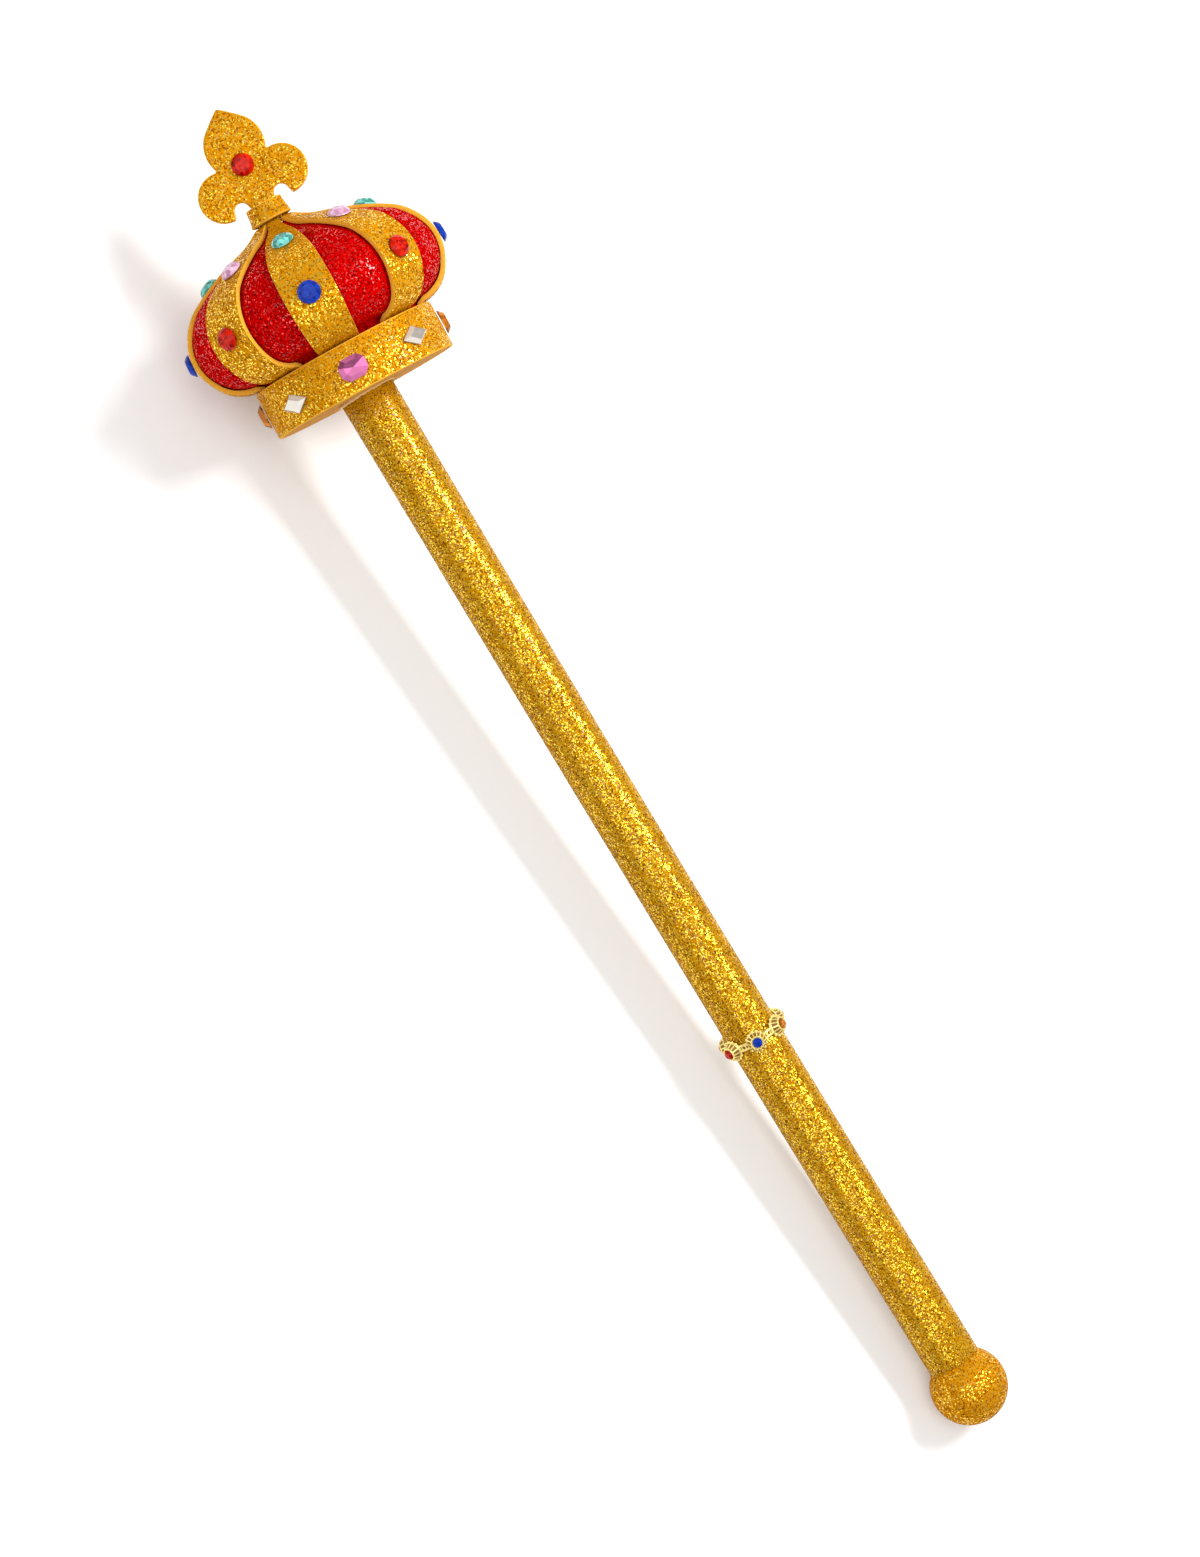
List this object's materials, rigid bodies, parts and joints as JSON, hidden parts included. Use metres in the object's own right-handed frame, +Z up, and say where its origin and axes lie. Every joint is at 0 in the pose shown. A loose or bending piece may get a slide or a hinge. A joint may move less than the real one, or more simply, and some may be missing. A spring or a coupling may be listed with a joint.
{
  "type": "costume sceptre",
  "caption": "Costume king's sceptre of glitter craft foam: shaft with ball pommel and jewelled trim, crown-shaped head set with stones, fleur-de-lis on top.",
  "frame": {"origin": "on the ground, under the middle of the bounding box of the sceptre lying down", "axes": "+X from the ball pommel toward the fleur-de-lis, +Z up, +Y to the left seen from the pommel"},
  "size_m": [0.6046, 0.1092, 0.109],
  "materials": {
    "shaft_wrap": "metallic gold glitter sheet",
    "ball_glitter": "gold glitter coat",
    "gold_foam": "gold glitter craft foam",
    "fleur_foam": "bright gold glitter craft foam",
    "red_glitter": "red glitter sheet",
    "gilt_metal": "bright pale gilt, stamped",
    "sapphire": "foil-backed acrylic stone",
    "ruby": "foil-backed acrylic stone",
    "turquoise": "foil-backed acrylic stone",
    "lilac": "foil-backed acrylic stone",
    "pink": "foil-backed acrylic stone",
    "silver": "mirror-backed acrylic stone",
    "topaz": "foil-backed acrylic stone"
  },
  "bodies": {
    "root": {"shaft": "shaft_wrap", "pommel_ball": "ball_glitter", "trim_ring": "gilt_metal", "trim_stone_1": "sapphire", "trim_stone_2": "topaz", "trim_stone_3": "ruby", "trim_stone_4": "sapphire", "trim_stone_5": "topaz", "trim_stone_6": "ruby", "headband": "gold_foam", "crown_base": "gold_foam", "crown_dome": "red_glitter", "strip_1": "gold_foam", "strip_2": "gold_foam", "strip_3": "gold_foam", "strip_4": "gold_foam", "strip_5": "gold_foam", "strip_6": "gold_foam", "strip_7": "gold_foam", "strip_8": "gold_foam", "equator_stone_1": "sapphire", "equator_stone_2": "ruby", "equator_stone_3": "sapphire", "equator_stone_4": "ruby", "equator_stone_5": "sapphire", "equator_stone_6": "ruby", "equator_stone_7": "sapphire", "equator_stone_8": "ruby", "shoulder_stone_1": "turquoise", "shoulder_stone_2": "lilac", "shoulder_stone_3": "turquoise", "shoulder_stone_4": "lilac", "shoulder_stone_5": "turquoise", "shoulder_stone_6": "lilac", "shoulder_stone_7": "turquoise", "shoulder_stone_8": "lilac", "band_stone_1": "pink", "band_stone_2": "silver", "band_stone_3": "topaz", "band_stone_4": "silver", "band_stone_5": "pink", "band_stone_6": "silver", "band_stone_7": "topaz", "band_stone_8": "silver", "collar": "gold_foam", "fleur": "fleur_foam", "fleur_stone": "ruby"}
  },
  "joints": []
}
